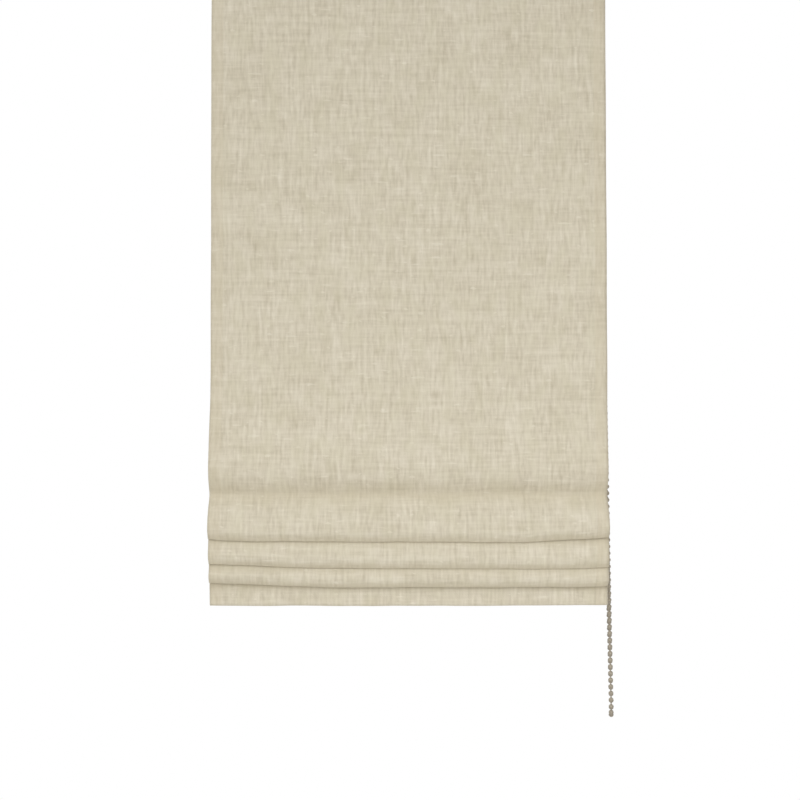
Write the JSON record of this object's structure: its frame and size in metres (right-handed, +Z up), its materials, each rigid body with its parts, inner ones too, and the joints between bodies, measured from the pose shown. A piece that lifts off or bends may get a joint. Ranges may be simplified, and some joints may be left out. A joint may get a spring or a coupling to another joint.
{
  "type": "roman blind",
  "caption": "Narrow linen roman blind, partly raised: flat cloth above gathered pleats and a weighted hem, hung from a slim headrail whose side bead chain winds the lift cords.",
  "frame": {"origin": "on the ceiling plane, midway between the two bracket screw holes", "axes": "+Z up out of the ceiling plane, +X towards the chain end, front of the cloth faces -Y"},
  "size_m": [0.3635, 0.0604, 0.7056],
  "materials": {
    "rail_white": "satin white paint",
    "zinc": "zinc plated",
    "plastic_white": "moulded",
    "plastic_grey": "moulded",
    "clear_plastic": "milky",
    "bare_aluminium": "mill",
    "rod": "drawn glass fibre",
    "linen": "natural linen weave",
    "tape": "woven tape",
    "cord": "braided",
    "chain": "taupe"
  },
  "bodies": {
    "headrail": {"headrail": "rail_white", "bracket_left": "zinc", "bracket_right": "zinc", "end_cap": "plastic_white", "control_housing": "plastic_white", "control_cover": "plastic_white", "brake_spring": "zinc", "cradle_left": "plastic_white", "cradle_right": "plastic_white", "lift_cord_left": "cord", "lift_cord_right": "cord", "hook_tape": "tape", "loop_tape": "tape", "face_cloth": "linen", "bead_chain": "chain", "chain_joiner": "clear_plastic"},
    "drive": {"drive_shaft": "bare_aluminium", "spool_left": "plastic_grey", "spool_right": "plastic_grey", "chain_wheel": "plastic_grey", "shaft_bush": "plastic_grey"},
    "stack": {"rod_4": "rod", "rod_tape_4": "tape", "cord_rings_4": "clear_plastic", "rod_5": "rod", "rod_tape_5": "tape", "cord_rings_5": "clear_plastic", "rod_6": "rod", "rod_tape_6": "tape", "cord_rings_6": "clear_plastic", "rod_7": "rod", "rod_tape_7": "tape", "cord_rings_7": "clear_plastic", "cord_stop_left": "plastic_white", "cord_stop_right": "plastic_white", "bottom_bar": "bare_aluminium", "bar_cap_left": "plastic_white", "bar_cap_right": "plastic_white"},
    "upper_rod": {"rod_1": "rod", "rod_tape_1": "tape", "cord_rings_1": "clear_plastic"},
    "middle_rod": {"rod_2": "rod", "rod_tape_2": "tape", "cord_rings_2": "clear_plastic"},
    "lower_rod": {"rod_3": "rod", "rod_tape_3": "tape", "cord_rings_3": "clear_plastic"}
  },
  "joints": [
    {"name": "lift", "type": "slide", "parent": "headrail", "child": "stack", "axis": [0, 0, 1], "range_m": [-0.228, 0.228], "deforming": ["face_cloth", "lift_cord_left", "lift_cord_right"]},
    {"name": "drive_turn", "type": "hinge", "parent": "headrail", "child": "drive", "pos_m": [0, 0, -0.01665], "axis": [1, 0, 0], "range_deg": [-1985, 1985], "deforming": ["bead_chain"]},
    {"name": "upper_rod_rise", "type": "slide", "parent": "headrail", "child": "upper_rod", "axis": [0, 0, 1], "range_m": [-0.108, 0.108]},
    {"name": "middle_rod_rise", "type": "slide", "parent": "headrail", "child": "middle_rod", "axis": [0, 0, 1], "range_m": [-0.1655, 0.1655]},
    {"name": "lower_rod_rise", "type": "slide", "parent": "headrail", "child": "lower_rod", "axis": [0, 0, 1], "range_m": [-0.2104, 0.2104]}
  ],
  "couplings": [
    {"joint": "drive_turn", "follows": "lift", "rad_per_m": -151.51},
    {"joint": "upper_rod_rise", "follows": "lift", "ratio": 0.4715},
    {"joint": "middle_rod_rise", "follows": "lift", "ratio": 0.7237},
    {"joint": "lower_rod_rise", "follows": "lift", "ratio": 0.9206}
  ]
}
